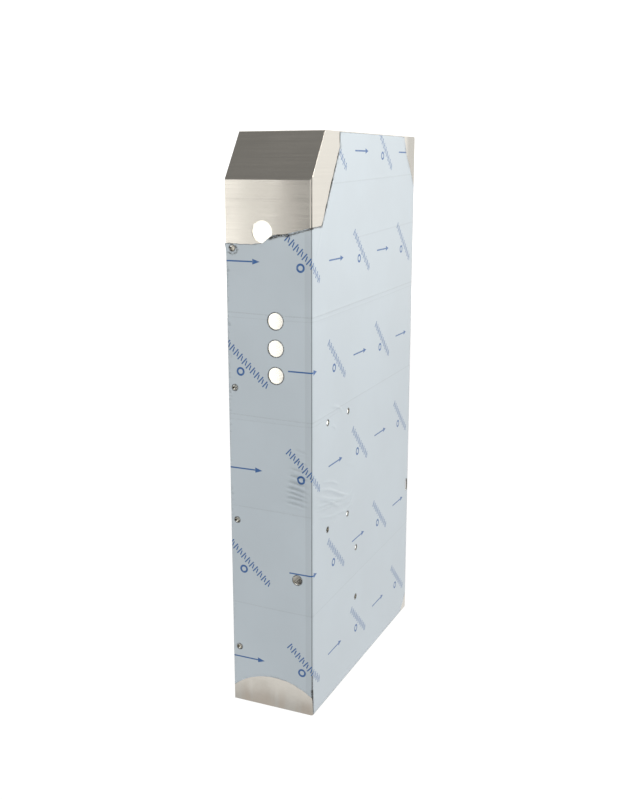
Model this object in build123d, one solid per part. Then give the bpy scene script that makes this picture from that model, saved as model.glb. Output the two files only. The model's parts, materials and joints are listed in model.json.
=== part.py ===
from build123d import *
import math
import os

# A ticket machine's casing in folded stainless sheet. +X is to the right as one faces the front, +Y to the
# rear, +Z up, and the origin is the middle of the base's underside, at the centre of the floor anchors.

# Overall sizes
width = 170.0
depth = 545.0
height = 1100.0
slope_depth = 58.0  # how far the sloped brow runs back
slope_height = 84.0  # how far it rises

# Sheet and bends
sheet = 2.0
bend_inner = 2.0
bend_outer = bend_inner + sheet
seam_round = 0.8  # ground weld seams
base_sheet = 3.0
film = 0.15

# Front holes: (from the right edge, height, diameter)
display_hole = (97.0, height - 175.0, 40.0)
button_from_right = 72.0
button_top = height - 333.0
button_pitch = 50.0
button_count = 3
button_diameter = 30.0
low_hole = (31.0, 276.0, 18.0)
edge_hole_inset = 13.0
edge_hole_heights = (115.0, 379.0, height - 462.0, height - 205.0)
edge_hole_diameter = 10.0

# Right side holes: distances back from the front, and heights
side_hole_diameter = 10.0
reader_hole_rows = (358.0, 570.0)
reader_hole_columns = (71.0, 172.0)
bracket_hole_back = 219.0
bracket_hole_rows = (159.0, 269.0)
slot_from_rear = 10.0
slot_height = 312.0
slot_length = 27.0
slot_width = 9.0

# Left side: door, its frame and the hinge post
door_gap = 2.0
door_depth = 25.0
door_lip = 16.0
gasket = 3.0
gasket_width = 10.0
frame_leg = 22.0
frame_foot = 20.0
post_face = 28.0
post_flange = 40.0
top_flange = 25.0

# Hinges
hinge_height = 80.0
hinge_centres = (170.0, height / 2 + 10.0, height - 170.0)
leaf_thickness = 2.5
leaf_width = 20.0
knuckle_radius = 5.0
pin_radius = 3.0
pin_play = 0.05
knuckle_gap = 1.0
leaf_set_off = 0.5  # between a leaf and the other leaf's knuckle
pin_dome = 1.5
hinge_screw_spacing = 50.0
hinge_screw_radius = 2.5

# Quarter-turn locks
lock_heights = (240.0, height - 250.0)
lock_from_front = 44.5
lock_sleeve_radius = 11.0
lock_flange_radius = 14.0
lock_flange = 3.0
barrel_radius = 7.0
barrel_play = 0.05
cam_thickness = 3.0
cam_reach = 36.0
cam_width = 18.0
cam_gap = 0.8
cam_hub = 12.0
cam_square = 8.0
cam_play = 0.1
key_recess = (4.5, 1.6, 8.0)  # outer radius, radius of the pin left standing, depth
key_notch = (3.0, 6.2)  # width, reach of the key's two bits
lock_nut_thickness = 5.0
lock_nut_size = 30.0

# Inside
rail_backs = (300.0, 400.0)
rail_low = 200.0
rail_length = height - 450.0
rail_width = 30.0
rail_depth = 15.0
rail_lip = 8.0
rail_sheet = 1.5
rail_slot_pitch = 50.0
rail_slot = (14.0, 7.0)
slots_between_studs = 6
stud_radius = 3.0
stud_length = 14.0
thread_play = 0.05
m6_nut = (10.0, 5.0)
m5_nut = (8.0, 4.0)
m5_head = (4.5, 2.6)
m5_socket = (1.5, 1.5)  # radius over corners, depth
head_round = 2.1
thread_end = 1.0  # thread standing past a nut
stiffener_heights = (hinge_centres[1] - 80.0, height - 310.0)
stiffener_width = 40.0
stiffener_flange = 12.0
stiffener_depth = 15.0
stiffener_sheet = 1.5
anchor_spacing = (width - 110.0, depth - 105.0)
anchor_hole_diameter = 12.0
cable_entry_length = 160.0
cable_entry_margin = 7.0  # from the door frame's foot
cable_entry_round = 12.0
trim_lap = 4.0
trim_wall = 1.5
wall_hole_diameter = 9.0
wall_hole_rows = (250.0, height - 250.0)
wall_hole_from_left = 23.0
flange_holes_x = (0.0, 55.0)
base_upstand = 30.0
earth_base = (25.0, -205.0)
earth_door = (0.0, 90.0)
clear = 0.3  # gap left beside welded-in pieces
hole_play = 0.25  # round screws and lock sleeves

# Film: torn edges. Upper points are drops from the top, lower ones heights. The first number is the distance
# from the right edge on the front, from the front on the side, and from the rear at the rear.
film_front_tear = ((width, 196.5), (121.0, 197.5), (97.0, 194.5), (77.0, 180.5), (48.0, 177.0), (0.0, 165.5))
film_front_foot = ((width, 30.0), (72.0, 63.0), (0.0, 36.0))  # ends and crown of an arc
film_side_tear = ((43.0, 164.5), (83.0, 96.0), (123.0, 28.0), (123.5, 3.0))
film_rear_tear = ((69.0, 3.0), (57.0, 32.0), (25.0, 72.0), (1.5, 104.0))
film_rear_foot = ((1.5, 36.0), (34.0, 1.0))
film_margin = 1.0
door_film_margin = 8.0

# Places that follow from the sizes
left = -width / 2
right = width / 2
front = -depth / 2
rear = depth / 2
brow = height - slope_height
slope_angle = math.degrees(math.atan2(slope_height, slope_depth))
door_inner = left + door_depth  # inner side of the door's lip
rebate = door_inner + gasket  # face that the gasket closes on
post_front = rear - post_face
hinge_axis_x = left - knuckle_radius
hinge_axis_y = post_front - door_gap / 2
lock_y = front + lock_from_front
cam_x = rebate + sheet + cam_gap
cable_entry = (-2 * (rebate + frame_foot + cable_entry_margin), cable_entry_length)

os.makedirs("parts", exist_ok=True)


def save(name, solids):
    """Write one node, a single solid or a list of separate ones."""
    shape = Compound(children=solids) if isinstance(solids, list) else solids
    export_step(shape, f"parts/{name}.step")


def block(x0, x1, y0, y1, z0, z1):
    """A box given by its faces."""
    return Pos((x0 + x1) / 2, (y0 + y1) / 2, (z0 + z1) / 2) * Box(x1 - x0, y1 - y0, z1 - z0)


def rod(radius, length, start, direction):
    """A cylinder from a point along a direction."""
    return extrude(Plane(start, z_dir=direction) * Circle(radius), length)


def nut(size, bore, start, direction):
    """A hexagon nut of (across flats, height) standing on a point."""
    plane = Plane(start, z_dir=direction)
    ring = RegularPolygon(size[0] / 2, 6, major_radius=False) - Circle(bore)
    return extrude(plane * ring, size[1])


def folded(points, thickness, radius, plane, length):
    """A folded sheet: a band of the given thickness along a path, its bends rounded, drawn out by length."""
    path = FilletPolyline(*points, radius=radius)
    return extrude(plane * trace(path, line_width=thickness), length)


def outline(inset, rear_y, low_z):
    """The casing's side outline, inset from the outer faces: front foot, brow, top edge, rear, rear foot."""
    down = inset * math.tan(math.radians(90 - slope_angle) / 2)
    back = inset * math.tan(math.radians(slope_angle) / 2)
    return [
        (front + inset, low_z),
        (front + inset, brow - down),
        (front + slope_depth + back, height - inset),
        (rear_y, height - inset),
        (rear_y, low_z),
    ]


def side_slab(points, x0, x1):
    """A slab from x0 to x1 with its outline given in Y and Z."""
    face = make_face(Polyline(*[(x0, y, z) for y, z in points], close=True))
    return extrude(face, x1 - x0, dir=(1, 0, 0))


def cross_edges(solid, corners):
    """The edges along X of a slab that pass through the given corners of its outline."""
    found = []
    for edge in solid.edges().filter_by(Axis.X):
        middle = edge.center()
        if any(abs(middle.Y - y) + abs(middle.Z - z) < 0.01 for y, z in corners):
            found.append(edge)
    return found


def bent_slab(inset, x0, x1, rear_y, low_z, radius):
    """A slab of the side outline with its three upper corners rounded as bends."""
    points = outline(inset, rear_y, low_z)
    slab = side_slab(points, x0, x1)
    return fillet(cross_edges(slab, points[1:4]), radius)


def rounded_plan(x1, y0, radius, z0, z1):
    """An upright block, open-ended to the left and rear, with its front right corner rounded."""
    x0, y1 = left, rear
    plan = Polyline((x0, y0), (x1 - radius, y0)) + RadiusArc((x1 - radius, y0), (x1, y0 + radius), -radius)
    plan = plan + Polyline((x1, y0 + radius), (x1, y1), (x0, y1), (x0, y0))
    return extrude(Pos(0, 0, z0) * make_face(plan), z1 - z0)


def seam_prism(start, direction):
    """A long beam under a plane, its edge over the right side rounded: it trims a ground weld seam."""
    plane = Plane(start, x_dir=(1, 0, 0), z_dir=-Vector(direction))
    beam = Pos(-width, -height) * Rectangle(2 * width, 2 * height)
    beam = fillet(beam.vertices().sort_by(Axis.X)[-2:].sort_by(Axis.Y)[-1], seam_round)
    return extrude(plane * beam, 2 * height, both=True)


def front_hole(from_right, z, diameter, through):
    """A round cutter through the front."""
    return rod(diameter / 2, through, (right - from_right, front - 1, z), (0, 1, 0))


def front_holes(through):
    """Cutters for every hole of the front."""
    holes = [front_hole(*display_hole, through), front_hole(*low_hole, through)]
    for row in range(button_count):
        z = button_top - row * button_pitch
        holes.append(front_hole(button_from_right, z, button_diameter, through))
    return holes + edge_holes(through)


def edge_holes(through):
    """Cutters for the small holes down the front's left edge."""
    return [front_hole(width - edge_hole_inset, z, edge_hole_diameter, through) for z in edge_hole_heights]


def side_holes():
    """Cutters for the round holes and the slot of the right side."""
    places = [(back, z) for back in reader_hole_columns for z in reader_hole_rows]
    places += [(bracket_hole_back, z) for z in bracket_hole_rows]
    start = right - 2 * sheet
    cutters = [rod(side_hole_diameter / 2, 4 * sheet, (start, front + y, z), (1, 0, 0)) for y, z in places]
    plane = Plane((start, rear - slot_from_rear, slot_height), x_dir=(0, 0, 1), z_dir=(1, 0, 0))
    return cutters + [extrude(plane * SlotOverall(slot_length, slot_width), 4 * sheet)]


# Casing shell: one folded blank, bent at the front right edge, the brow, the top edge and the rear top edge
outer = rounded_plan(right, front, bend_outer, 0, height) & bent_slab(0, left, right, rear, 0, bend_outer)
outer &= seam_prism((right, 0, height), (0, 1, 0))
outer &= seam_prism((right, front, brow), (0, slope_depth, slope_height))
inner = rounded_plan(right - sheet, front + sheet, bend_inner, -1, height)
inner &= bent_slab(sheet, left, right, rear - sheet, -1, bend_inner)
rear_opening = block(left, right - sheet, rear - 2 * sheet, rear, -1, height - top_flange)
shell = outer - inner - rear_opening
shell -= front_holes(4 * sheet) + side_holes()
for x in flange_holes_x:
    flange_hole_start = (x, rear - 3 * sheet, height - top_flange / 2)
    shell -= rod(wall_hole_diameter / 2, 4 * sheet, flange_hole_start, (0, 1, 0))
save("casing_shell", shell)

# Base tray: floor plate with three upstands, anchor holes and the cable entry
tray_right = right - sheet
tray_front = front + sheet
post_end = left + post_flange + clear
tray = block(left, tray_right, tray_front, rear, 0, base_sheet)
tray = chamfer(tray.edges().filter_by(Axis.Z).group_by(Axis.X)[-1].sort_by(Axis.Y)[0], bend_outer)
frame_end = rebate + frame_foot + clear
tray += block(frame_end, tray_right - bend_outer, tray_front, tray_front + base_sheet, 0, base_upstand)
tray_side = tray_right - base_sheet
tray += block(tray_side, tray_right, tray_front + bend_outer, rear - base_sheet, 0, base_upstand)
tray += block(post_end, tray_right, rear - base_sheet, rear, 0, base_upstand)
entry = RectangleRounded(*cable_entry, cable_entry_round)
tray -= extrude(Pos(0, 0, -1) * entry, 2 * base_sheet)
for x in (-anchor_spacing[0] / 2, anchor_spacing[0] / 2):
    for y in (-anchor_spacing[1] / 2, anchor_spacing[1] / 2):
        tray -= rod(anchor_hole_diameter / 2, 2 * base_sheet, (x, y, -1), (0, 0, 1))
for x in flange_holes_x:
    wall_hole_start = (x, rear - 2 * base_sheet, base_upstand / 2)
    tray -= rod(wall_hole_diameter / 2, 4 * base_sheet, wall_hole_start, (0, 1, 0))
save("base_tray", tray)

# Rubber edging of the cable entry: a collar in the opening and a lap over its rim
collar = offset(entry, -thread_play) - offset(entry, -trim_wall)
lap = offset(entry, trim_lap) - offset(entry, -trim_wall)
trim = extrude(Pos(0, 0, clear) * collar, base_sheet - clear)
trim += extrude(Pos(0, 0, base_sheet) * lap, trim_wall)
save("cable_entry_trim", trim)

# Hinge post: a flat upright behind the door, which carries the hinges
post_top = height - sheet
post = block(left, left + sheet, post_front + sheet, rear - sheet, base_sheet, post_top)
post_notch = rear - bend_outer - clear
strip_top = height - top_flange - clear
post -= block(left, post_end, post_notch, rear, strip_top, height)

# Seal angle: a folded lip welded along the post's front edge, which the door's seal meets
half = sheet / 2
angle_points = [
    (left, post_front + half),
    (rebate + half, post_front + half),
    (rebate + half, post_front - frame_leg),
]
angle_base = Pos(0, 0, base_sheet) * Plane.XY
save("seal_angle", folded(angle_points, sheet, bend_inner + half, angle_base, post_top - base_sheet))

# Wall strip: a flat bar welded down the post's rear edge, holed for wall bolts
strip = block(left, left + post_flange, rear - sheet, rear, base_sheet, strip_top)
for z in wall_hole_rows:
    wall_hole_start = (left + wall_hole_from_left, rear - 3 * sheet, z)
    strip -= rod(wall_hole_diameter / 2, 4 * sheet, wall_hole_start, (0, 1, 0))
save("wall_strip", strip)

# Door frame: angles round the left opening, mitred where they meet
frame_rear = post_front - frame_leg - clear
outer_line = outline(sheet, frame_rear, base_sheet)
foot_line = outline(2 * sheet, frame_rear, base_sheet)
leg_line = outline(sheet + frame_leg, frame_rear, base_sheet)


def frame_angle(side):
    """One angle of the door frame: a leg facing the door and a foot welded inside the shell's bends."""
    leg = [outer_line[side], outer_line[side + 1], leg_line[side + 1], leg_line[side]]
    foot = [outer_line[side], outer_line[side + 1], foot_line[side + 1], foot_line[side]]
    angle = side_slab(leg, rebate, rebate + sheet) + side_slab(foot, rebate, rebate + frame_foot)
    return angle & inner


for side, name in enumerate(("front", "slope", "top")):
    save(f"door_frame_{name}", frame_angle(side))
bottom_points = [
    (rebate + half, base_sheet + frame_leg),
    (rebate + half, base_sheet + half),
    (rebate + frame_foot, base_sheet + half),
]
bottom_start = front + sheet + frame_leg + clear
bottom_plane = Plane((0, bottom_start, 0), x_dir=(1, 0, 0), z_dir=(0, -1, 0))
bottom_run = bottom_start - frame_rear
save("door_frame_bottom", folded(bottom_points, sheet, bend_inner + half, bottom_plane, bottom_run))

# Side door: a pan with turned-in lips
door_edge = sheet + door_gap
door_rear = post_front - door_gap
door_low = base_sheet + door_gap


def door_slab(inset, x0, x1):
    """A slab of the door's outline, inset from the door's own edges."""
    return side_slab(outline(door_edge + inset, door_rear - inset, door_low + inset), x0, x1)


pan = door_slab(0, left, door_inner)
pan = fillet(pan.faces().sort_by(Axis.X)[0].edges(), bend_outer)
cavity = door_slab(sheet, left + sheet, door_inner - sheet)
cavity = fillet(cavity.faces().sort_by(Axis.X)[0].edges(), bend_inner)
door = pan - cavity - door_slab(door_lip, door_inner - 2 * sheet, door_inner)
door -= edge_holes(4 * sheet)
lip_margin = (door_lip - gasket_width) / 2
seal = door_slab(lip_margin, door_inner, rebate)
seal -= door_slab(lip_margin + gasket_width, door_inner, rebate)
save("door_gasket", seal)

for z, name in zip(stiffener_heights, ("lower", "upper")):
    wall = left + sheet + stiffener_sheet / 2
    crown = wall + stiffener_depth - stiffener_sheet
    edge = stiffener_width / 2
    hat_points = [
        (wall, z - edge - stiffener_flange),
        (wall, z - edge),
        (crown, z - edge),
        (crown, z + edge),
        (wall, z + edge),
        (wall, z + edge + stiffener_flange),
    ]
    hat_start = front + door_edge + sheet + bend_outer
    hat_end = door_rear - sheet - bend_outer
    hat_plane = Plane((0, hat_end, 0), x_dir=(1, 0, 0), z_dir=(0, -1, 0))
    hat = folded(hat_points, stiffener_sheet, 2 * stiffener_sheet, hat_plane, hat_end - hat_start)
    save(f"door_stiffener_{name}", hat)

# Hinges: lift-off, the post's knuckle below with the pin in it, the door's above
leaf_outer = left - leaf_thickness
knuckle = (hinge_height - knuckle_gap) / 2
leaf_start = knuckle_radius + leaf_set_off


def hinge_leaf(toward, z_low, knuckle_low):
    """A leaf with its knuckle, running from the axis toward the rear (1) or the front (-1)."""
    ends = [hinge_axis_y + toward * reach for reach in (leaf_start, leaf_start + leaf_width)]
    leaf = block(leaf_outer, left, *sorted(ends), z_low, z_low + hinge_height)
    far_corners = leaf.edges().filter_by(Axis.X).group_by(Axis.Y)[-1 if toward > 0 else 0]
    leaf = fillet(far_corners, 3 * leaf_thickness / 2)
    tab = sorted((hinge_axis_y, hinge_axis_y + toward * (leaf_start + leaf_thickness)))
    leaf += block(leaf_outer, left, *tab, knuckle_low, knuckle_low + knuckle)
    leaf += rod(knuckle_radius, knuckle, (hinge_axis_x, hinge_axis_y, knuckle_low), (0, 0, 1))
    leaf -= rod(pin_radius + pin_play, knuckle, (hinge_axis_x, hinge_axis_y, knuckle_low), (0, 0, 1))
    for z in (-hinge_screw_spacing / 2, hinge_screw_spacing / 2):
        at = (leaf_outer - 1, sum(ends) / 2, z_low + hinge_height / 2 + z)
        leaf -= rod(hinge_screw_radius + hole_play, leaf_thickness + 2, at, (1, 0, 0))
    return leaf


screw_reach = leaf_start + leaf_width / 2
screw_y = {"post": hinge_axis_y + screw_reach, "door": hinge_axis_y - screw_reach}
screws = {"post": [], "door": []}
nuts = {"post": [], "door": []}
for centre, name in zip(hinge_centres, ("lower", "middle", "upper")):
    z_low = centre - hinge_height / 2
    door_knuckle = z_low + knuckle + knuckle_gap
    save(f"hinge_{name}_post_leaf", hinge_leaf(1, z_low, z_low))
    save(f"hinge_{name}_door_leaf", hinge_leaf(-1, z_low, door_knuckle))
    pin = rod(pin_radius, hinge_height + pin_dome, (hinge_axis_x, hinge_axis_y, z_low), (0, 0, 1))
    pin = fillet(pin.edges().sort_by(Axis.Z)[-1], pin_dome)
    save(f"hinge_{name}_pin", pin)
    washer_start = (hinge_axis_x, hinge_axis_y, z_low + knuckle)
    washer = rod(knuckle_radius, knuckle_gap, washer_start, (0, 0, 1))
    washer -= rod(pin_radius + pin_play, knuckle_gap, washer_start, (0, 0, 1))
    save(f"hinge_{name}_washer", washer)
    for z in (centre - hinge_screw_spacing / 2, centre + hinge_screw_spacing / 2):
        for side, y in screw_y.items():
            head = rod(m5_head[0], m5_head[1], (leaf_outer - m5_head[1], y, z), (1, 0, 0))
            head = fillet(head.edges().sort_by(Axis.X)[0], head_round)
            head_plane = Plane((leaf_outer - m5_head[1], y, z), z_dir=(1, 0, 0))
            screw = head - extrude(head_plane * RegularPolygon(m5_socket[0], 6), m5_socket[1])
            shank = leaf_thickness + sheet + m5_nut[1] + thread_end
            screw += rod(hinge_screw_radius, shank, (leaf_outer, y, z), (1, 0, 0))
            screws[side].append(screw)
            nut_start = (left + sheet, y, z)
            nuts[side].append(nut(m5_nut, hinge_screw_radius + thread_play, nut_start, (1, 0, 0)))
            hole = rod(hinge_screw_radius + hole_play, 4 * sheet, (left - 1, y, z), (1, 0, 0))
            if side == "post":
                post -= hole
            else:
                door -= hole
for side in screws:
    save(f"hinge_screws_{side}", screws[side])
    save(f"hinge_nuts_{side}", nuts[side])
save("hinge_post", post)

# Quarter-turn locks: shown unlocked, the cam hanging down; a quarter turn swings it behind the door frame
lock_face = left - lock_flange
spigot = cam_square - cam_play
cam_face = cam_x + cam_thickness
nut_size = (lock_nut_size, lock_nut_thickness)
nut_bore = lock_sleeve_radius + thread_play
for z, name in zip(lock_heights, ("lower", "upper")):
    barrel_bore = rod(barrel_radius + barrel_play, cam_x - lock_face, (lock_face, lock_y, z), (1, 0, 0))
    flange = rod(lock_flange_radius, lock_flange, (lock_face, lock_y, z), (1, 0, 0))
    flange = fillet(flange.edges().sort_by(Axis.X)[0], lock_flange / 3)
    housing = flange + rod(lock_sleeve_radius, cam_x - clear - left, (left, lock_y, z), (1, 0, 0))
    save(f"lock_{name}_housing", housing - barrel_bore)
    save(f"lock_{name}_nut", nut(nut_size, nut_bore, (left + sheet, lock_y, z), (1, 0, 0)))
    barrel = rod(barrel_radius, cam_x - lock_face, (lock_face, lock_y, z), (1, 0, 0))
    barrel += Pos((cam_x + cam_face) / 2, lock_y, z) * Box(cam_thickness, spigot, spigot)
    key_plane = Plane((lock_face, lock_y, z), z_dir=(1, 0, 0))
    key_hole = Circle(key_recess[0]) + Rectangle(key_notch[0], 2 * key_notch[1]) - Circle(key_recess[1])
    barrel -= extrude(key_plane * key_hole, key_recess[2])
    barrel -= rod(hinge_screw_radius + thread_play, 3 * cam_thickness, (cam_face, lock_y, z), (-1, 0, 0))
    save(f"lock_{name}_barrel", barrel)
    cam = rod(cam_hub, cam_thickness, (cam_x, lock_y, z), (1, 0, 0))
    cam += block(cam_x, cam_face, lock_y - cam_width / 2, lock_y + cam_width / 2, z - cam_reach, z)
    cam -= Pos((cam_x + cam_face) / 2, lock_y, z) * Box(cam_thickness, cam_square, cam_square)
    save(f"lock_{name}_cam", cam)
    head_plane = Plane((cam_face, lock_y, z), z_dir=(1, 0, 0))
    cam_screw = extrude(head_plane * RegularPolygon(cam_square, 6, major_radius=False), cam_thickness)
    cam_screw += rod(hinge_screw_radius, 2 * cam_thickness + thread_end, (cam_face, lock_y, z), (-1, 0, 0))
    save(f"lock_{name}_cam_screw", cam_screw)
    door -= rod(lock_sleeve_radius + hole_play, 2 * sheet, (left - 1, lock_y, z), (1, 0, 0))
save("side_door", door)

# Equipment rails: lipped channels with slotted backs, on studs welded to the right wall
wall = right - sheet
slot_count = int(rail_length / rail_slot_pitch)
rail_studs, rail_nuts = [], []
for back, name in zip(rail_backs, ("front", "rear")):
    y = front + back
    near, far = wall - rail_sheet / 2, wall - rail_depth + rail_sheet / 2
    half_width = rail_width / 2 - rail_sheet / 2
    rail_points = [
        (far, y - half_width + rail_lip),
        (far, y - half_width),
        (near, y - half_width),
        (near, y + half_width),
        (far, y + half_width),
        (far, y + half_width - rail_lip),
    ]
    rail = folded(rail_points, rail_sheet, 2 * rail_sheet, Pos(0, 0, rail_low) * Plane.XY, rail_length)
    for row in range(slot_count):
        z = rail_low + rail_slot_pitch * (row + 0.5)
        plane = Plane((wall, y, z), x_dir=(0, 0, 1), z_dir=(-1, 0, 0))
        rail -= extrude(plane * SlotOverall(*rail_slot), 2 * rail_sheet)
        if row % slots_between_studs == 0:
            rail_studs.append(rod(stud_radius, stud_length, (wall, y, z), (-1, 0, 0)))
            rail_nuts.append(nut(m6_nut, stud_radius + thread_play, (wall - rail_sheet, y, z), (-1, 0, 0)))
    save(f"equipment_rail_{name}", rail)
save("rail_studs", rail_studs)
save("rail_nuts", rail_nuts)

# Earth studs, one on the floor and one on the door
base_at = (*earth_base, base_sheet)
door_at = (left + sheet, *earth_door)
save("earth_stud_base", rod(stud_radius, stud_length, base_at, (0, 0, 1)))
save("earth_nut_base", nut(m6_nut, stud_radius + thread_play, base_at, (0, 0, 1)))
save("earth_stud_door", rod(stud_radius, stud_length, door_at, (1, 0, 0)))
save("earth_nut_door", nut(m6_nut, stud_radius + thread_play, door_at, (1, 0, 0)))

# Protective film, torn away round the welds: one piece round the front right bend and one on the door
skin = rounded_plan(right + film, front - film, bend_outer + film, film_margin, height)
skin -= rounded_plan(right, front, bend_outer, 0, height)
tear = [(right - x, height - drop) for x, drop in film_front_tear]
foot = [(right - x, z) for x, z in film_front_foot]
beyond = (right + 2 * bend_outer, film_margin)
front_line = Polyline(foot[0], *tear, (beyond[0], tear[-1][1]), (beyond[0], foot[2][1]), foot[2])
front_area = make_face(front_line + ThreePointArc(foot[2], foot[1], foot[0]))
front_plane = Plane((0, front + bend_outer, 0), x_dir=(1, 0, 0), z_dir=(0, -1, 0))
front_cut = extrude(front_plane * front_area, 3 * bend_outer)
side_points = [(front + y, height - drop) for y, drop in film_side_tear]
side_points += [(rear - y, height - drop) for y, drop in film_rear_tear]
side_points += [(rear - y, z) for y, z in film_rear_foot]
side_points += [(front + bend_outer, film_margin), (front + bend_outer, tear[-1][1])]
side_cut = side_slab(side_points, right - sheet, right + sheet)
front_film = (skin & front_cut) & block(left, right + sheet, front - sheet, front + bend_outer, 0, height)
film_body = front_film + (skin & side_cut)
save("film_body", film_body - front_holes(4 * sheet) - side_holes())

door_film = door_slab(door_film_margin, left - film, left)
for z in lock_heights:
    door_film -= rod(lock_flange_radius + clear, 2 * sheet, (left - sheet, lock_y, z), (1, 0, 0))
for z in hinge_centres:
    hinge_edge = hinge_axis_y - leaf_start - leaf_width - clear
    reach = hinge_height / 2 + clear
    door_film -= block(left - sheet, left, hinge_edge, rear, z - reach, z + reach)
save("film_door", door_film)
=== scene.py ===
"""Looks for the ticket machine casing: bare brushed stainless, torn protective film, hinges and locks."""

import json
import math

import bpy
import numpy as np
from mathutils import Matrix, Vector, geometry, noise


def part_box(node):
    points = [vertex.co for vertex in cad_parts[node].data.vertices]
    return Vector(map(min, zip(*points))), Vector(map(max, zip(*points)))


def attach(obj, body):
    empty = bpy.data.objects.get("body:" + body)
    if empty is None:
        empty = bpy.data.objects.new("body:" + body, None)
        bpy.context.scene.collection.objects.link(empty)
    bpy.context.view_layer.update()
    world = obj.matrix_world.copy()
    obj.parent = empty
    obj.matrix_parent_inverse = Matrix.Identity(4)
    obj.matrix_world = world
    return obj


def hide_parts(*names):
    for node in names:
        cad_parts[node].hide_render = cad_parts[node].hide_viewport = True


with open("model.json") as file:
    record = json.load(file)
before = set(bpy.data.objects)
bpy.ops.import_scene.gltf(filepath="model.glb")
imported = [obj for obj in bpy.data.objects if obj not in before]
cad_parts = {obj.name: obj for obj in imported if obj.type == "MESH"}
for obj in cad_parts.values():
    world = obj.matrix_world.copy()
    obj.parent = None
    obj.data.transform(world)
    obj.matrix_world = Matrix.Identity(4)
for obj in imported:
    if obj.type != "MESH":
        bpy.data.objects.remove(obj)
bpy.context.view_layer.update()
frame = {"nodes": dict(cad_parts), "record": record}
record = frame["record"]

MM = 0.001
shell_low, shell_high = (Vector(corner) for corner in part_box("casing_shell"))
LEFT, FRONT = shell_low.x, shell_low.y
RIGHT, REAR, TOP = shell_high.x, shell_high.y, shell_high.z
WIDTH, DEPTH = RIGHT - LEFT, REAR - FRONT
BEND = 4 * MM  # outer radius of the casing's bends
SLOPE_DEPTH, SLOPE_HEIGHT = 58 * MM, 84 * MM


# ---------------------------------------------------------------- shader arithmetic
class Num:
    """A shader socket that takes part in sums, so that a mask reads as a formula."""

    def __init__(self, tree, socket):
        self.tree, self.socket = tree, socket

    def math(self, operation, *others):
        node = self.tree.nodes.new("ShaderNodeMath")
        node.operation = operation
        for slot, value in zip(node.inputs, (self, *others)):
            if isinstance(value, Num):
                self.tree.links.new(value.socket, slot)
            else:
                slot.default_value = value
        return Num(self.tree, node.outputs[0])

    def __add__(self, other):
        return self.math("ADD", other)

    def __sub__(self, other):
        return self.math("SUBTRACT", other)

    def __mul__(self, other):
        return self.math("MULTIPLY", other)

    def __truediv__(self, other):
        return self.math("DIVIDE", other)

    def abs(self):
        return self.math("ABSOLUTE")

    def floor(self):
        return self.math("FLOOR")

    def fract(self):
        return self.math("FRACT")

    def most(self, other):
        return self.math("MAXIMUM", other)

    def ramp(self, low, high, to_low=0.0, to_high=1.0):
        """Smooth change from to_low at low to to_high at high."""
        node = self.tree.nodes.new("ShaderNodeMapRange")
        node.interpolation_type = "SMOOTHSTEP"
        self.tree.links.new(self.socket, node.inputs["Value"])
        for name, value in (("From Min", low), ("From Max", high), ("To Min", to_low), ("To Max", to_high)):
            node.inputs[name].default_value = value
        return Num(self.tree, node.outputs[0])


class Look:
    """One material: its node tree with short ways to add what most looks need."""

    def __init__(self, name, colour, metallic, roughness):
        self.material = bpy.data.materials.new(name)
        self.material.use_nodes = True
        self.tree = self.material.node_tree
        self.shader = self.tree.nodes["Principled BSDF"]
        self.shader.inputs["Base Color"].default_value = (*colour, 1)
        self.shader.inputs["Metallic"].default_value = metallic
        self.shader.inputs["Roughness"].default_value = roughness

    def set(self, **values):
        for name, value in values.items():
            self.shader.inputs[name.replace("_", " ")].default_value = value

    def link(self, source, name):
        self.tree.links.new(source.socket if isinstance(source, Num) else source, self.shader.inputs[name])

    def place(self, scale=(1, 1, 1)):
        """Object coordinates, in metres, stretched by scale."""
        coordinates = self.tree.nodes.new("ShaderNodeTexCoord")
        mapping = self.tree.nodes.new("ShaderNodeMapping")
        mapping.inputs["Scale"].default_value = scale
        self.tree.links.new(coordinates.outputs["Object"], mapping.inputs["Vector"])
        return mapping.outputs[0]

    def axes(self):
        """The three object coordinates as numbers."""
        split = self.tree.nodes.new("ShaderNodeSeparateXYZ")
        self.tree.links.new(self.place(), split.inputs[0])
        return [Num(self.tree, output) for output in split.outputs]

    def uv(self):
        """The unrolled sheet's coordinates, in metres."""
        node = self.tree.nodes.new("ShaderNodeUVMap")
        node.uv_map = "unrolled"
        split = self.tree.nodes.new("ShaderNodeSeparateXYZ")
        self.tree.links.new(node.outputs[0], split.inputs[0])
        return node.outputs[0], [Num(self.tree, output) for output in split.outputs[:2]]

    def noise(self, vector, scale, detail=3.0, roughness=0.5):
        node = self.tree.nodes.new("ShaderNodeTexNoise")
        node.inputs["Scale"].default_value = scale
        node.inputs["Detail"].default_value = detail
        node.inputs["Roughness"].default_value = roughness
        self.tree.links.new(vector, node.inputs["Vector"])
        return Num(self.tree, node.outputs["Fac"])

    def tint(self, amount, first, second):
        """A colour that goes from first to second with amount."""
        node = self.tree.nodes.new("ShaderNodeMix")
        node.data_type = "RGBA"
        self.tree.links.new(amount.socket, node.inputs["Factor"])
        for slot, value in (("A", first), ("B", second)):
            socket = next(i for i in node.inputs if i.name == slot and i.type == "RGBA")
            if isinstance(value, tuple):
                socket.default_value = (*value, 1)
            else:
                self.tree.links.new(value, socket)
        return next(o for o in node.outputs if o.type == "RGBA")

    def bump(self, height, strength, distance, name="Normal"):
        node = self.tree.nodes.new("ShaderNodeBump")
        node.inputs["Strength"].default_value = strength
        node.inputs["Distance"].default_value = distance
        self.tree.links.new(height.socket, node.inputs["Height"])
        self.tree.links.new(node.outputs[0], self.shader.inputs[name])


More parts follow.
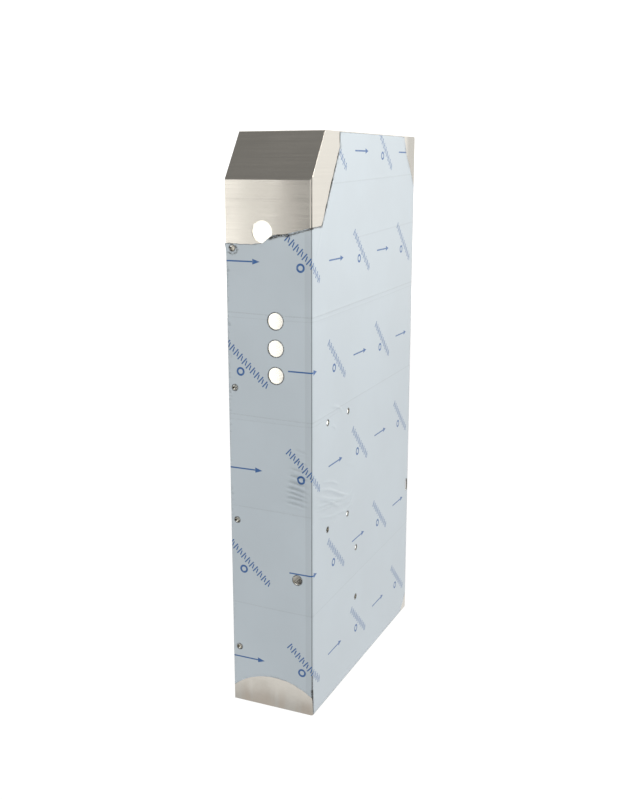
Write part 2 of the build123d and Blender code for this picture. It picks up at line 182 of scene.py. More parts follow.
# ---------------------------------------------------------------- materials
STEEL = (0.62, 0.59, 0.535)
GRAIN_ALONG, GRAIN_ACROSS = 6.0, 900.0
FILM = (0.53, 0.595, 0.64)
INK = (0.0, 0.085, 0.30)
# Near-black of charred film; the same colour paints shade and shadow lines on the film
SOOT_AND_SHADE = (0.02, 0.018, 0.015)
HEAT_GREY = (0.33, 0.315, 0.285)
HEAT_STRAW = (0.38, 0.32, 0.26)


def darker(colour, share):
    """The colour with each channel cut to share."""
    return tuple(channel * share for channel in colour)


def grain(look, across, along):
    """Brushing lines: noise that is fine up the sheet and long along it."""
    lines = look.noise(look.place((along, along, across)), 1.0, 4.0, 0.6)
    level = look.noise(look.place((along, across, along)), 1.0, 4.0, 0.6)
    geo = look.tree.nodes.new("ShaderNodeNewGeometry")
    split = look.tree.nodes.new("ShaderNodeSeparateXYZ")
    look.tree.links.new(geo.outputs["Normal"], split.inputs[0])
    flat = Num(look.tree, split.outputs[2]).abs().ramp(0.75, 0.9)
    return lines + (level - lines) * flat


def brushed(name, colour=STEEL, roughness=0.16, tint=None):
    """Brushed sheet: long fine lines in colour, gloss and relief, with faint cloudy handling marks."""
    look = Look(name, colour, 1.0, roughness)
    lines = grain(look, GRAIN_ACROSS, GRAIN_ALONG)
    clouds = look.noise(look.place(), 9.0, 4.0)
    shade = (lines * 0.6 + clouds * 0.4).ramp(0.3, 0.7)
    base = look.tint(shade, darker(colour, 0.91), colour)
    if tint:
        base = tint(look, base)
    look.link(base, "Base Color")
    gloss = lines.ramp(0.3, 0.7, roughness - 0.04, roughness + 0.05)
    gloss += clouds.ramp(0.35, 0.7, -0.03, 0.05)
    look.link(gloss, "Roughness")
    look.bump(lines, 0.06, 0.0002)
    look.set(Anisotropic=0.95, Anisotropic_Rotation=0.25)
    tangent = look.tree.nodes.new("ShaderNodeTangent")
    tangent.direction_type, tangent.axis = "RADIAL", "Z"
    look.link(tangent.outputs[0], "Tangent")
    return look.material


def weld_tint(look, base):
    """Straw and grey heat marks beside the base weld and the rear top corner's weld."""
    y, z = look.axes()[1:]
    warp = look.noise(look.place(), 22.0, 3.0) * 50 * MM
    near = (z + warp).ramp(25 * MM, 85 * MM, 1.0, 0.0)
    outside = (y - (FRONT + 6 * MM)).ramp(0.0, 4 * MM, 1.0, 0.0)
    streaks = look.noise(look.place((30.0, 30.0, 4.0)), 1.0, 3.0).ramp(0.42, 0.62)
    corner = y.ramp(REAR - 65 * MM, REAR - 35 * MM) * z.ramp(TOP - 130 * MM, TOP - 90 * MM)
    grey = look.tint((near * outside * 0.75).most(corner * 0.8), base, HEAT_GREY)
    return look.tint(near * outside * streaks * 0.5, grey, HEAT_STRAW)


def galvanised(name):
    """Zinc-coated strip: soft spangle in colour and gloss."""
    look = Look(name, (0.55, 0.57, 0.58), 1.0, 0.42)
    spangle = look.noise(look.place(), 160.0, 2.0)
    look.link(look.tint(spangle.ramp(0.35, 0.65), (0.42, 0.44, 0.46), (0.60, 0.62, 0.63)), "Base Color")
    look.link(spangle.ramp(0.3, 0.7, 0.34, 0.52), "Roughness")
    look.bump(spangle, 0.05, 0.0004)
    return look.material


def machined(name, colour, roughness, metallic=1.0):
    """Turned or plated small parts: fine tool marks and slightly worn gloss."""
    look = Look(name, colour, metallic, roughness)
    marks = look.noise(look.place((300.0, 300.0, 1800.0)), 1.0, 2.0)
    wear = look.noise(look.place(), 140.0, 3.0)
    look.link(look.tint(wear.ramp(0.35, 0.7), colour, darker(colour, 0.78)), "Base Color")
    gloss = marks.ramp(0.3, 0.7, roughness - 0.06, roughness + 0.08) + wear.ramp(0.4, 0.7, 0.0, 0.07)
    look.link(gloss, "Roughness")
    look.bump(marks, 0.08, 0.0001)
    return look.material


def rubbery(name, colour, pores):
    """Foam or rubber: pores in relief, dusty colour."""
    look = Look(name, colour, 0.0, 0.8)
    grit = look.noise(look.place(), pores, 3.0)
    dust = look.noise(look.place(), 25.0, 3.0)
    look.link(look.tint(dust.ramp(0.4, 0.8), colour, tuple(c + 0.03 for c in colour)), "Base Color")
    look.link(grit.ramp(0.3, 0.7, 0.7, 0.92), "Roughness")
    look.bump(grit, 0.35, 0.0005)
    look.set(Specular_IOR_Level=0.3)
    return look.material


# The film's print repeats on a centred lattice of the unrolled sheet. Each cell holds an arrow, a ring and a
# slanting row that alternates a tall upright stroke with a short leaning one
PRINT_PITCH = (245 * MM, 389 * MM)
PRINT_START = (-170 * MM, 872 * MM)
ARROW = 68 * MM
ARROW_HEAD = (15 * MM, 5.2 * MM)
SHAFT = 1.35 * MM
RING_AT = (148 * MM, -8 * MM)
RING = (6.4 * MM, 1.9 * MM)
ROW_AT = (162 * MM, 6 * MM)
ROW_TURN = math.radians(43.5)
ROW_HALF = (58 * MM, 7.5 * MM)
MARK_PITCH = 11.6 * MM
MARK_WIDTH = 1.2 * MM
TALL_AT, SHORT_AT = -0.24, 0.2  # of the pitch, from the middle of a pair
SHORT_LEAN, SHORT_SHARE = 0.35, 0.62
CELL_LEAD = 20 * MM  # how far a cell starts before its arrow
SOFT = 0.35 * MM


def inside(distance, edge):
    """1 where distance is under edge, with a soft rim."""
    return distance.ramp(edge - SOFT, edge + SOFT, 1.0, 0.0)


def print_mask(u, v):
    """Where the blue print lies on the unrolled sheet."""
    half_row = PRINT_PITCH[1] / 2
    row = ((v - PRINT_START[1]) / half_row + 0.5).floor()
    b = v - PRINT_START[1] - row * half_row
    cell = (u - (PRINT_START[0] - CELL_LEAD) - row * (PRINT_PITCH[0] / 2)) / PRINT_PITCH[0]
    a = cell.fract() * PRINT_PITCH[0] - CELL_LEAD
    back = ARROW - ARROW_HEAD[0]
    shaft = inside((a - back / 2).abs(), back / 2) * inside(b.abs(), SHAFT)
    taper = b.abs() + (a - ARROW) * (ARROW_HEAD[1] / ARROW_HEAD[0])
    head = inside(taper, 0.0) * (a - back).ramp(-SOFT, SOFT)
    ring_u, ring_v = a - RING_AT[0], b - RING_AT[1]
    ring_distance = (ring_u * ring_u + ring_v * ring_v).math("SQRT") - RING[0]
    ring = inside(ring_distance.abs(), RING[1])
    row_u, row_v = a - ROW_AT[0], b - ROW_AT[1]
    s = row_u * math.cos(ROW_TURN) - row_v * math.sin(ROW_TURN)
    t = row_u * math.sin(ROW_TURN) + row_v * math.cos(ROW_TURN)
    across = (((s + ROW_HALF[0]) / MARK_PITCH).fract() - 0.5) * MARK_PITCH
    tall = inside((across - MARK_PITCH * TALL_AT).abs(), MARK_WIDTH) * inside(t.abs(), ROW_HALF[1])
    lean = across - MARK_PITCH * SHORT_AT + t * SHORT_LEAN
    short = inside(lean.abs(), MARK_WIDTH) * inside(t.abs(), ROW_HALF[1] * SHORT_SHARE)
    marks = tall.most(short) * inside(s.abs(), ROW_HALF[0])
    return shaft.most(head).most(ring).most(marks)


def film_look(name):
    """Protective film: pale, milky, slightly uneven, with blue print, charred torn edges darkened further by
    painted shadow, and painted shade along the bend and in the long creases.
    """
    look = Look(name, FILM, 0.1, 0.38)
    vector, (u, v) = look.uv()
    haze = look.noise(vector, 5.0, 4.0)
    bubbles = look.noise(vector, 70.0, 2.0)
    base = look.tint(haze.ramp(0.35, 0.65), darker(FILM, 0.95), FILM)
    wear = look.noise(vector, 160.0, 2.0).ramp(0.25, 0.45, 0.8, 1.0)
    # Painted shade: a dark line on the film along the front right bend, and a faint darker band on the front
    # face beside it
    bend = inside((u + 0.5 * MM).abs(), 1.3 * MM) * 0.85 + inside((u + 8 * MM).abs(), 6 * MM) * 0.12
    base = look.tint(bend, base, darker(FILM, 0.35))
    printed = look.tint(print_mask(u, v) * wear * 0.95, base, INK)
    scorch_and_shade = look.tree.nodes.new("ShaderNodeAttribute")
    scorch_and_shade.attribute_name = "scorch_and_shade"
    speckle = look.noise(vector, 420.0, 3.0).ramp(0.38, 0.5, 0.4, 1.0)
    # Near-black from the mesh's attribute: charred film, painted shadow along the torn edges, the crack and
    # the sprung corner, and painted shade in the creases
    char_and_shade = Num(look.tree, scorch_and_shade.outputs["Fac"]) * speckle
    look.link(look.tint(char_and_shade, printed, SOOT_AND_SHADE), "Base Color")
    look.link(haze.ramp(0.3, 0.7, 0.35, 0.43), "Roughness")
    look.bump(bubbles, 0.04, 0.0012)
    look.set(Specular_IOR_Level=0.45, Coat_Weight=0.15, Coat_Roughness=0.25)
    return look.material


MATERIALS = {
    "stainless": brushed("brushed_stainless"),
    "shell": brushed("brushed_stainless_shell", tint=weld_tint),
    "film": film_look("protective_film"),
    "foam": rubbery("foam_seal", (0.018, 0.018, 0.019), 700.0),
    "rubber": rubbery("black_rubber", (0.012, 0.012, 0.012), 1500.0),
    "brass": machined("turned_brass", (0.62, 0.43, 0.18), 0.28),
    "hinge_steel": machined("satin_hinge_steel", (0.52, 0.51, 0.50), 0.34),
    "lock_chrome": machined("satin_chrome", (0.66, 0.66, 0.67), 0.2),
    "zinc_cam": machined("zinc_plate", (0.60, 0.61, 0.60), 0.3),
    "fastener": machined("fastener_steel", (0.56, 0.56, 0.55), 0.26),
    "galvanised": galvanised("galvanised_strip"),
}


def dress_frame():
    """Give every CAD node the material of its slot, and the shell its own with weld marks."""
    for subpart in record["subparts"]:
        node = subpart["node"]
        look = MATERIALS["shell" if node == "casing_shell" else subpart["material_slot"]]
        mesh = frame["nodes"][node].data
        mesh.materials.clear()
        mesh.materials.append(look)


# ---------------------------------------------------------------- protective film
CIRCLE_STEPS = 40
GRID = 7 * MM
FINE = 2.2 * MM
FILM_LIFT = 0.12 * MM
FILM_THICK = 0.12 * MM
RIM = 2.6 * MM  # scorched width round a laser-cut hole
RIM_ROWS = (0.45, 1.0)  # rows of points round a hole, as shares of RIM
RIM_TURN = 0.05  # radians between those rows' points and the cut edge's
TEAR_CURL, TEAR_REACH = 1.1 * MM, 7 * MM  # loose edge of the torn film
CORNER_RISE = 5 * MM  # the sprung corner's height off the steel
DOOR_CURL, DOOR_REACH = 1.2 * MM, 8 * MM
DOOR_RIPPLE = 0.8 * MM
DOOR_TRIM = 3 * MM  # bare steel left round each hinge leaf

# Upright slot near the side's rear edge: distance from the front, height, end radius, half its straight part
SIDE_SLOT = (DEPTH - 10 * MM, 312 * MM, 4.5 * MM, 9 * MM)

# Dark lines: charred film along the torn edges near the welds, with painted shadow under the lifted torn
# edges, under the sprung corner and in the crack at the bend's foot: points in mm (across from the bend,
# height), half width in mm, darkness
BURNS_AND_SHADOWS = (
    (((-82, 914), (-73, 917), (-63, 920), (-54, 921), (-45, 920)), 4.2, 1.0),
    (((-45, 920), (-24, 926), (-2, 932)), 2.0, 0.9),
    (((-4, 932), (6, 934)), 3.2, 1.0),
    (((6, 934), (14, 934), (43, 934.5)), 2.0, 0.85),
    (((43, 935.5), (83, 1004), (118, 1062), (123.5, 1072), (123.5, 1098)), 1.5, 0.5),
    (((-170, 903.5), (-121, 902.5), (-101, 905)), 1.4, 0.5),
    # painted shadow under the sprung corner beside the upper edge hole
    (((-150, 899), (-147, 890), (-156, 884), (-165, 888)), 1.6, 0.9),
    (((476, 1098), (488, 1068), (520, 1028), (543, 996)), 1.4, 0.4),
    # painted shadow in the film's crack at the foot of the bend
    (((0.5, 84), (0.5, 52)), 1.8, 0.9),
    (((0.5, 52), (1.5, 30), (2.5, 4)), 4.4, 1.0),
    (((-48, 59), (-26, 50), (-14, 44)), 2.0, 0.5),
    (((-170, 30), (-140, 48), (-105, 60), (-72, 63), (-40, 56), (0, 36)), 1.4, 0.45),
)


def holes_of(axis, flat):
    """Round holes that the record's mounts put on one face: (flat coordinate, height, radius, straight)."""
    found = []
    for mount in record["mounts"]:
        if Vector(mount["axis"]).dot(axis) < 0.9 or mount["kind"] not in ("bore", "bolt_pattern"):
            continue
        dims, centre = mount["dims"], Vector(mount["pos_m"])
        reach_u = dims.get("spacing_x_mm", 0.0) * MM / 2
        reach_v = dims.get("spacing_y_mm", 0.0) * MM / 2
        radius = dims.get("r_mm", dims.get("hole_r_mm")) * MM
        spots = {(flat(centre) + i * reach_u, centre.z + j * reach_v) for i in (-1, 1) for j in (-1, 1)}
        found += [(u, v, radius, 0.0) for u, v in sorted(spots)]
    return found


def rim_points(hole, grow, turn):
    """Points round a hole's edge, grown outward; an upright slot has a straight stretch at half height."""
    u, v, radius, straight = hole
    reach = radius + grow
    points = []
    for t in np.linspace(turn, 2 * math.pi + turn, CIRCLE_STEPS, endpoint=False):
        rise = math.copysign(straight, math.sin(t))
        points.append((u + reach * math.cos(t), v + reach * math.sin(t) + rise))
    return points


def rim_distance(u, v, hole):
    """Distance outward from a hole's edge."""
    return np.hypot(u - hole[0], np.maximum(np.abs(v - hole[1]) - hole[3], 0.0)) - hole[2]


def arc(a, b, c, steps):
    """Points on the circle through a, b and c, from a to c."""
    (ax, ay), (bx, by), (cx, cy) = a, b, c
    d = 2 * (ax * (by - cy) + bx * (cy - ay) + cx * (ay - by))
    ux = ((ax**2 + ay**2) * (by - cy) + (bx**2 + by**2) * (cy - ay) + (cx**2 + cy**2) * (ay - by)) / d
    uy = ((ax**2 + ay**2) * (cx - bx) + (bx**2 + by**2) * (ax - cx) + (cx**2 + cy**2) * (bx - ax)) / d
    radius = math.hypot(ax - ux, ay - uy)
    start, end = math.atan2(ay - uy, ax - ux), math.atan2(cy - uy, cx - ux)
    angles = np.linspace(start, end, steps)
    return [(ux + radius * math.cos(t), uy + radius * math.sin(t)) for t in angles]


def torn(points, step, rough):
    """A line of points broken into short steps with a ragged sideways wander."""
    out = []
    for (u0, v0), (u1, v1) in zip(points, points[1:]):
        length = math.hypot(u1 - u0, v1 - v0)
        count = max(1, int(length / step))
        for i in range(count):
            t = i / count
            u, v = u0 + (u1 - u0) * t, v0 + (v1 - v0) * t
            coarse = noise.noise(Vector((u * 160, v * 160, 3.1)))
            fine = noise.noise(Vector((u * 420, v * 420, 7.7)))
            shift = (coarse + 0.5 * fine) * rough * (0 if i == 0 else 1)
            out.append((u - (v1 - v0) / length * shift, v + (u1 - u0) / length * shift))
    return out + [points[-1]]


def within(points, outline):
    """Which points lie inside a closed outline, by counting crossings."""
    u, v = points[:, 0], points[:, 1]
    odd = np.zeros(len(points), bool)
    for (u0, v0), (u1, v1) in zip(outline, outline[1:] + outline[:1]):
        if v0 == v1:
            continue
        crosses = (v0 > v) != (v1 > v)
        odd ^= crosses & (u < (u1 - u0) * (v - v0) / (v1 - v0) + u0)
    return odd


def cut_sheet(outline, holes, spots):
    """Triangles of a flat sheet with an outline, cut-out holes and inner spots: (points, faces)."""
    rings = [outline] + [rim_points(hole, 0.0, 0.0) for hole in holes]
    points, edges = [], []
    for ring in rings:
        start, count = len(points), len(ring)
        points += ring
        edges += [(start + i, start + (i + 1) % count) for i in range(count)]
    spots = spots[within(spots, outline)]
    for hole in holes:
        spots = spots[rim_distance(spots[:, 0], spots[:, 1], hole) > RIM + 0.7 * MM]
    rims = [rim_points(hole, RIM * share, RIM_TURN) for hole in holes for share in RIM_ROWS]
    points += [tuple(spot) for spot in spots] + [point for rim in rims for point in rim]
    made = geometry.delaunay_2d_cdt([Vector(p) for p in points], edges, [], 0, 1e-6)
    flat, faces = np.array([tuple(p) for p in made[0]]), [tuple(f) for f in made[2]]
    middles = np.array([flat[list(face)].mean(0) for face in faces])
    keep = within(middles, outline)
    for hole in holes:
        keep &= rim_distance(middles[:, 0], middles[:, 1], hole) > -0.001 * hole[2]
    return flat, [face for face, kept in zip(faces, keep) if kept]


def grid(low, high, step, seed):
    """Loose grid points between two corners, shaken a little so that no rows show."""
    u, v = np.meshgrid(np.arange(low[0], high[0], step), np.arange(low[1], high[1], step))
    shake = np.random.default_rng(seed).uniform(-0.25, 0.25, (u.size, 2)) * step
    return np.column_stack([u.ravel(), v.ravel()]) + shake


def along(points, half):
    """Grid points on a line and on both its sides, so that the mesh can follow a narrow ridge."""
    line = torn(points, 3.5 * MM, 0.0)
    rows = []
    for (u0, v0), (u1, v1) in zip(line, line[1:]):
        length = math.hypot(u1 - u0, v1 - v0)
        side = ((v0 - v1) / length * half, (u1 - u0) / length * half)
        rows += [(u0 + k * side[0], v0 + k * side[1]) for k in (-1.0, 0.0, 1.0)]
    return np.array(rows)


def near_line(u, v, points):
    """Distance from each (u, v) to a line of points."""
    best = np.full(u.shape, 1e9)
    for (u0, v0), (u1, v1) in zip(points, points[1:]):
        du, dv = u1 - u0, v1 - v0
        t = np.clip(((u - u0) * du + (v - v0) * dv) / (du * du + dv * dv), 0, 1)
        best = np.minimum(best, np.hypot(u - u0 - t * du, v - v0 - t * dv))
    return best


def faded(u, v, points):
    """1 in the middle of a line of points and 0 at its two ends."""
    (u0, v0), (u1, v1) = points[0], points[-1]
    length = math.hypot(u1 - u0, v1 - v0)
    ends = np.minimum(np.hypot(u - u0, v - v0), np.hypot(u - u1, v - v1))
    return np.clip(ends / (0.3 * length), 0, 1)


# Wrinkles: points of each fold in mm (across from the bend, height), its height and its half width in mm
FOLDS = (
    # short slanting puckers left of the bend
    (((-35, 531), (-20, 528), (-6, 523)), 1.66, 1.6),
    (((-43, 509), (-24, 507), (-4, 501)), 1.66, 1.6),
    (((-47, 494), (-26, 491), (-4, 485)), 2.29, 1.8),
    (((-48, 481), (-28, 478), (-4, 471)), 2.91, 2.0),
    (((-52, 469), (-28, 465), (-4, 458)), 3.12, 2.1),
    (((-55, 457), (-30, 454), (-4, 446)), 3.12, 2.0),
    (((-56, 448), (-34, 445), (-4, 438)), 2.29, 1.7),
    (((-57, 437), (-32, 436), (-4, 431)), 2.5, 1.8),
    (((-56, 427), (-32, 425), (-4, 420)), 2.08, 1.7),
    # fans and hooks on the side
    (((42, 461), (86, 450), (130, 432)), 1.71, 2.2),
    (((6, 454), (74, 437), (135, 411), (178, 397), (198, 413)), 2.65, 2.8),
    (((6, 446), (62, 424), (123, 403), (172, 394), (200, 402)), 2.46, 2.8),
    (((6, 436), (40, 427), (82, 411), (120, 392), (168, 384)), 1.89, 2.6),
    (((6, 421), (50, 414), (99, 406), (129, 401)), 2.46, 2.4),
    (((8, 413), (45, 407), (85, 401), (118, 396)), 2.09, 2.2),
    (((25, 396), (86, 380), (148, 372), (170, 377)), 1.89, 3.0),
    (((37, 379), (76, 369), (135, 361)), 1.13, 3.0),
    (((123, 375), (165, 369), (205, 375)), 2.09, 3.0),
    (((150, 388), (182, 382), (206, 392)), 1.71, 2.8),
    (((86, 597), (118, 590), (145, 575)), 1.32, 2.6),
    (((86, 562), (100, 556), (112, 548)), 1.13, 2.2),
    (((150, 470), (200, 452), (240, 440)), 0.57, 3.0),
    # long creases across the whole sheet
    (((-170, 779), (0, 777), (250, 781), (543, 786)), 0.48, 1.6),
    (((-170, 770), (0, 769), (250, 772), (543, 778)), 0.26, 1.4),
    (((-170, 588), (0, 585), (220, 590), (543, 596)), 0.4, 1.6),
    (((-170, 578), (0, 577), (120, 580)), 0.26, 1.4),
    (((-170, 408), (-60, 406), (0, 404)), 0.33, 1.6),
    (((-170, 210), (0, 207), (240, 211), (543, 216)), 0.33, 1.6),
    (((98, 1008), (300, 1014), (530, 1021)), 0.33, 2.0),
    (((210, 905), (380, 912), (543, 918)), 0.33, 2.0),
    (((43, 932), (28, 900), (8, 868)), 0.66, 1.6),
)
LONG_CREASE = 0.5  # folds lower than this are the long creases, which get a faint painted shade line


def smooth_line(points, steps=8):
    """A Catmull-Rom line through the points."""
    padded = [points[0], *points, points[-1]]
    line = []
    for a, b, c, d in zip(padded, padded[1:], padded[2:], padded[3:]):
        for t in np.linspace(0, 1, steps, endpoint=False):
            weights = (-t + 2 * t**2 - t**3, 2 - 5 * t**2 + 3 * t**3, t + 4 * t**2 - 3 * t**3, t**3 - t**2)
            corners = (a, b, c, d)
            line.append(tuple(0.5 * sum(w * p[i] for w, p in zip(weights, corners)) for i in range(2)))
    return line + [points[-1]]


def metres(points):
    """A smooth line, in metres, through points in mm."""
    return smooth_line([(a * MM, b * MM) for a, b in points])


def body_lift(u, v, torn_edges):
    """How far the film stands off the steel, in metres."""
    lift = np.full(u.shape, FILM_LIFT)
    for points, height, half in FOLDS:
        line = metres(points)
        shape = np.exp(-((near_line(u, v, line) / (half * MM)) ** 2))
        lift += shape * faded(u, v, line) * height * MM
    wander = np.array([noise.noise(Vector((a * 55, b * 55, 0.3))) for a, b in zip(u, v)])
    for torn_edge in torn_edges:
        close = np.clip(1 - near_line(u, v, torn_edge) / TEAR_REACH, 0, 1)
        lift += close**2 * np.clip(0.35 + wander, 0, 1) * TEAR_CURL
    # the corner beside the upper edge hole has sprung away from the steel
    corner = np.clip((-0.140 - u) / 0.03, 0, 1) * np.clip((v - 0.884) / 0.02, 0, 1)
    return lift + corner**1.5 * CORNER_RISE


def scorch_and_shade(u, v, holes):
    """Darkness of charred cut edges round the holes, of charred torn edges with painted shadow, and of
    painted shade in the long creases, 0 to 1.
    """
    dark = np.zeros(u.shape)
    # Painted shade: a faint dark line along each long crease
    crease_shade = [(points, 1.4, 0.35 * height) for points, height, _ in FOLDS if height < LONG_CREASE]
    for points, half, depth in [*BURNS_AND_SHADOWS, *crease_shade]:
        line = metres(points)
        near = 1 - near_line(u, v, line) / (half * MM)
        dark = np.maximum(dark, depth * np.clip(1.9 * near, 0, 1))
    for hole in holes:
        near = 1 - rim_distance(u, v, hole) / RIM
        dark = np.maximum(dark, 0.95 * np.clip(1.7 * near, 0, 1))
    return dark


def film_mesh(name, flat, faces, place, dark, start=0.0):
    """A mesh from unrolled points, its UVs the unrolled metres, counted across from start."""
    mesh = bpy.data.meshes.new(name)
    mesh.from_pydata([place(u, v) for u, v in flat], [], faces)
    layer = mesh.uv_layers.new(name="unrolled")
    corners = np.zeros(len(mesh.loops), np.int32)
    mesh.loops.foreach_get("vertex_index", corners)
    layer.data.foreach_set("uv", (flat[corners] + (start, 0.0)).ravel())
    mesh.attributes.new("scorch_and_shade", "FLOAT", "POINT").data.foreach_set("value", dark)
    mesh.shade_smooth()
    mesh.update()
    film = bpy.data.objects.new(name, mesh)
    bpy.context.scene.collection.objects.link(film)
    solid = film.modifiers.new("thickness", "SOLIDIFY")
    solid.thickness, solid.offset = FILM_THICK, 1.0
    mesh.materials.append(MATERIALS["film"])
    return film


def body_film():
    """The film round the front right bend: torn off near the welds, puckered half way up."""
    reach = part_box("film_body")[1].y - FRONT
    left_edge, low, high = -(WIDTH - 0.3 * MM), 1 * MM, TOP - 1.5 * MM
    # corners of the outline, in metres: across from the bend, height
    front_tear = [(left_edge, 0.9035), (-0.121, 0.9025), (-0.097, 0.9052), (-0.077, 0.9195)]
    front_tear += [(-0.048, 0.923), (0.0, 0.9345)]
    side_tear = [(0.0, 0.9345), (0.043, 0.9355), (0.083, 1.004), (0.118, 1.062), (0.1235, 1.072)]
    side_tear += [(0.1235, high)]
    rear = [(0.476, high), (0.488, 1.068), (0.520, 1.028), (reach, 0.996)]
    foot = [(reach, 0.036), (0.511, low), (0.004, low), (0.0, 0.036)]
    bottom = arc((0.0, 0.036), (-0.072, 0.063), (left_edge, 0.030), 28)
    outline = torn(front_tear, 1.6 * MM, 1.1 * MM)[:-1] + torn(side_tear, 2.0 * MM, 0.35 * MM)
    outline += torn(rear + foot, GRID, 0.0)[:-1] + torn(bottom, 2.0 * MM, 0.8 * MM)[:-1]
    outline += torn([bottom[-1], front_tear[0]], GRID, 0.0)[:-1]
    outline = [(min(reach, max(left_edge, u)), max(low, min(v, high))) for u, v in outline]
    holes = holes_of(Vector((0, -1, 0)), lambda p: p.x - RIGHT)
    holes += holes_of(Vector((1, 0, 0)), lambda p: p.y - FRONT)
    lowest_tear = min(v for u, v in front_tear)
    holes = [hole for hole in holes if hole[1] < lowest_tear] + [SIDE_SLOT]
    spots = np.vstack(
        [
            grid((-0.168, 0.004), (0.54, 1.098), GRID, 1),
            grid((-0.064, 0.352), (0.215, 0.54), FINE, 2),
            grid((0.080, 0.54), (0.150, 0.605), FINE, 7),
            grid((-0.010, 0.004), (0.010, 0.94), FINE, 3),
            grid((-0.170, 0.872), (0.060, 0.94), FINE, 4),
            grid((-0.168, 0.02), (0.010, 0.075), FINE, 5),
            *(along(metres(points), half * MM) for points, height, half in FOLDS if height < LONG_CREASE),
        ]
    )
    flat, faces = cut_sheet(outline, holes, spots)
    lift = body_lift(flat[:, 0], flat[:, 1], (front_tear, side_tear, rear, bottom))
    lifts = {(u, v): h for (u, v), h in zip(map(tuple, flat), lift)}

    def place(u, v):
        h = lifts[(u, v)]
        if u <= -BEND:
            return (RIGHT + u, FRONT - h, v)
        if u >= BEND:
            return (RIGHT + h, FRONT + u, v)
        turn = (u + BEND) / (2 * BEND) * math.pi / 2
        radius = BEND + h
        return (RIGHT - BEND + radius * math.sin(turn), FRONT + BEND - radius * math.cos(turn), v)

    film = film_mesh("film_body_torn", flat, faces, place, scorch_and_shade(flat[:, 0], flat[:, 1], holes))
    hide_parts("film_body")
    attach(film, "casing")


def door_film():
    """The film on the door, trimmed back from its edges, the hinges and the locks."""
    low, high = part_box("film_door")
    outline = [(low.y, low.z), (high.y, low.z)]
    for level in ("lower", "middle", "upper"):
        leaf_low, leaf_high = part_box(f"hinge_{level}_door_leaf")
        edge, under, over = leaf_low.y - DOOR_TRIM, leaf_low.z - DOOR_TRIM, leaf_high.z + DOOR_TRIM
        outline += [(high.y, under), (edge, under), (edge, over), (high.y, over)]
    slope_low = TOP - SLOPE_HEIGHT - (FRONT - low.y) * SLOPE_HEIGHT / SLOPE_DEPTH
    outline += [(high.y, high.z), (FRONT + SLOPE_DEPTH + 6 * MM, high.z), (low.y, slope_low - 14 * MM)]
    outline = torn(outline + outline[:1], 3 * MM, 0.5 * MM)[:-1]
    outline = [(min(high.y, max(low.y, y)), min(high.z, max(low.z, z))) for y, z in outline]
    locks = []
    for level in ("lower", "upper"):
        flange_low, flange_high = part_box(f"lock_{level}_housing")
        middle = (flange_low + flange_high) / 2
        locks.append((middle.y, middle.z, (flange_high.z - flange_low.z) / 2 + 2 * MM, 0.0))
    flat, faces = cut_sheet(outline, locks, grid((low.y, low.z), (high.y, high.z), GRID, 6))
    faces = [face[::-1] for face in faces]
    distances = near_line(flat[:, 0], flat[:, 1], outline + outline[:1])
    waves = {}
    for (y, z), distance in zip(map(tuple, flat), distances):
        wander = max(0.0, 0.2 + noise.noise(Vector((y * 40, z * 40, 5.2))))
        curl = max(0.0, 1 - distance / DOOR_REACH) ** 2 * wander
        ripple = max(0.0, noise.noise(Vector((y * 9, z * 3.5, 9.4)))) ** 2
        waves[(y, z)] = FILM_LIFT + curl * DOOR_CURL + ripple * DOOR_RIPPLE

    def place(y, z):
        return (high.x - waves[(y, z)], y, z)

    start = 3 * PRINT_PITCH[0]  # well clear of the body film's bend
    film = film_mesh("film_door_trimmed", flat, faces, place, np.zeros(len(flat)), start)
    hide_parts("film_door")
    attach(film, "door")


# ---------------------------------------------------------------- stage, light and camera
DIM = 0.22  # level of the directions that nothing lights
DARK_TOWARDS = (-0.40, -0.52, 0.76)
DARK_LEVEL = 0.29
CAMERA_AT = (0.8054, -1.8720, 1.0385)
CAMERA_DOWN, CAMERA_TURN = math.radians(13.14), math.radians(23.96)
LENS, SENSOR = 45.11, 36


def floor():
    """A pale glowing floor disc, so that no horizon shows."""
    bpy.ops.mesh.primitive_circle_add(vertices=96, radius=5.0, fill_type="NGON", location=(0, 0, -0.001))
    ground = bpy.context.object
    ground.name = "studio_floor"
    look = Look("floor_white", (0.02, 0.02, 0.02), 0.0, 1.0)
    look.set(Specular_IOR_Level=0.0, Emission_Strength=1.02)
    look.shader.inputs["Emission Color"].default_value = (1, 1, 1, 1)
    ground.data.materials.append(look.material)


def area_light(name, place, towards, size, power, colour=(1, 1, 1)):
    """A rectangular lamp at place that faces towards."""
    light = bpy.data.lights.new(name, "AREA")
    light.shape, light.size, light.size_y = "RECTANGLE", *size
    light.energy, light.color = power, colour
    lamp = bpy.data.objects.new(name, light)
    lamp.location = place
    lamp.rotation_euler = (Vector(towards) - Vector(place)).to_track_quat("-Z", "Y").to_euler()
    bpy.context.scene.collection.objects.link(lamp)


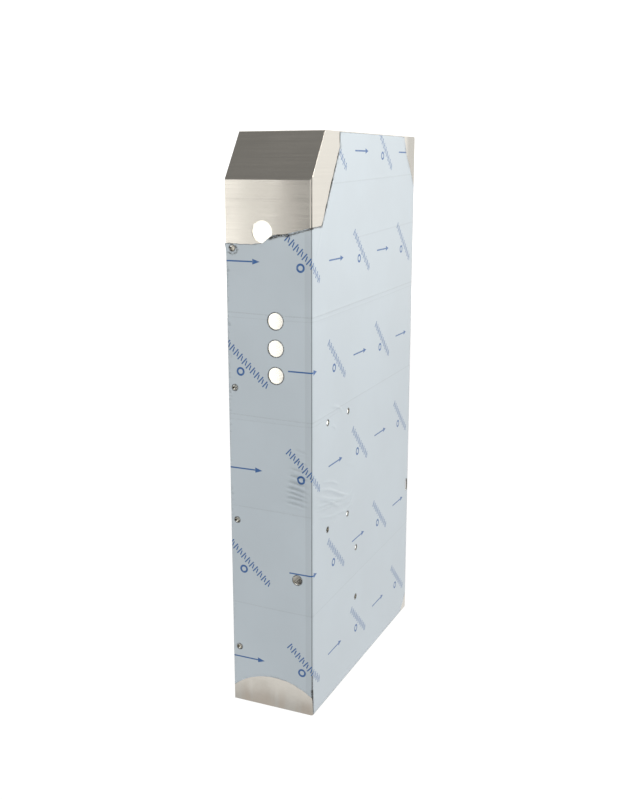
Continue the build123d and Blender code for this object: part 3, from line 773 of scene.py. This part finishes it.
def surroundings():
    """A studio by direction, as the bare steel mirrors it.

    White behind, a bright window with a thin post at the front left, a dimmer card beside it, a strip in
    front, and dark high at the front left, where the slope looks.
    """
    world = bpy.data.worlds.new("studio")
    bpy.context.scene.world = world
    world.use_nodes = True
    tree = world.node_tree
    where = tree.nodes.new("ShaderNodeTexCoord")
    split = tree.nodes.new("ShaderNodeSeparateXYZ")
    tree.links.new(where.outputs["Generated"], split.inputs[0])
    x, y, z = (Num(tree, output) for output in split.outputs)
    bearing = x.math("ARCTAN2", y * -1.0) * math.degrees(1)  # degrees, 0 in front, positive to the right
    behind = bearing.abs().ramp(98, 128, 0.0, 1.3)
    high = z.ramp(0.10, 0.34) * y.ramp(0.35, 0.0)
    post = (bearing + 27.6).abs().ramp(0.3, 1.1, 0.4, 0.0)
    window = bearing.ramp(-25.6, -26.4) * bearing.ramp(-64, -50) * (post * -1.0 + 1.0) * 1.8
    card = bearing.ramp(-20.5, -21.5) * bearing.ramp(-64, -50) * 0.5
    strip = bearing.ramp(-17, -13) * bearing.ramp(45, 35) * 1.1
    front = window.most(card).most(strip) * (high * -1.0 + 1.0)
    level = behind.most(front).most(DIM) * (high * -0.5 + 1.0)
    dot = tree.nodes.new("ShaderNodeVectorMath")
    dot.operation = "DOT_PRODUCT"
    dot.inputs[1].default_value = Vector(DARK_TOWARDS).normalized()
    tree.links.new(where.outputs["Generated"], dot.inputs[0])
    dark = Num(tree, dot.outputs["Value"]).ramp(0.66, 0.88)
    level = level * (dark * -1.0 + 1.0) + dark * DARK_LEVEL
    tree.links.new(level.socket, tree.nodes["Background"].inputs["Strength"])
    tree.nodes["Background"].inputs["Color"].default_value = (1.0, 0.995, 0.98, 1)


def camera():
    """The viewer, front right and a little above, looking down at the casing."""
    data = bpy.data.cameras.new("camera")
    data.lens, data.sensor_width = LENS, SENSOR
    eye = bpy.data.objects.new("camera", data)
    eye.location = CAMERA_AT
    eye.rotation_euler = (math.pi / 2 - CAMERA_DOWN, 0, CAMERA_TURN)
    bpy.context.scene.collection.objects.link(eye)
    bpy.context.scene.camera = eye


dress_frame()
body_film()
door_film()
floor()
area_light("key", (1.2, -0.50, 2.0), (0.05, 0.0, 0.95), (0.8, 0.8), 19.0, (1.0, 0.97, 0.94))
area_light("fill", (0.7, -1.7, 1.9), (0.0, -0.27, 0.9), (0.6, 0.6), 1.5)
area_light("rear_glow", (0.0, 0.34, 0.50), (0.0, 0.0, 0.50), (0.12, 0.90), 1.0, (0.86, 0.94, 1.0))
surroundings()
camera()
bpy.context.scene.view_settings.view_transform = "Standard"
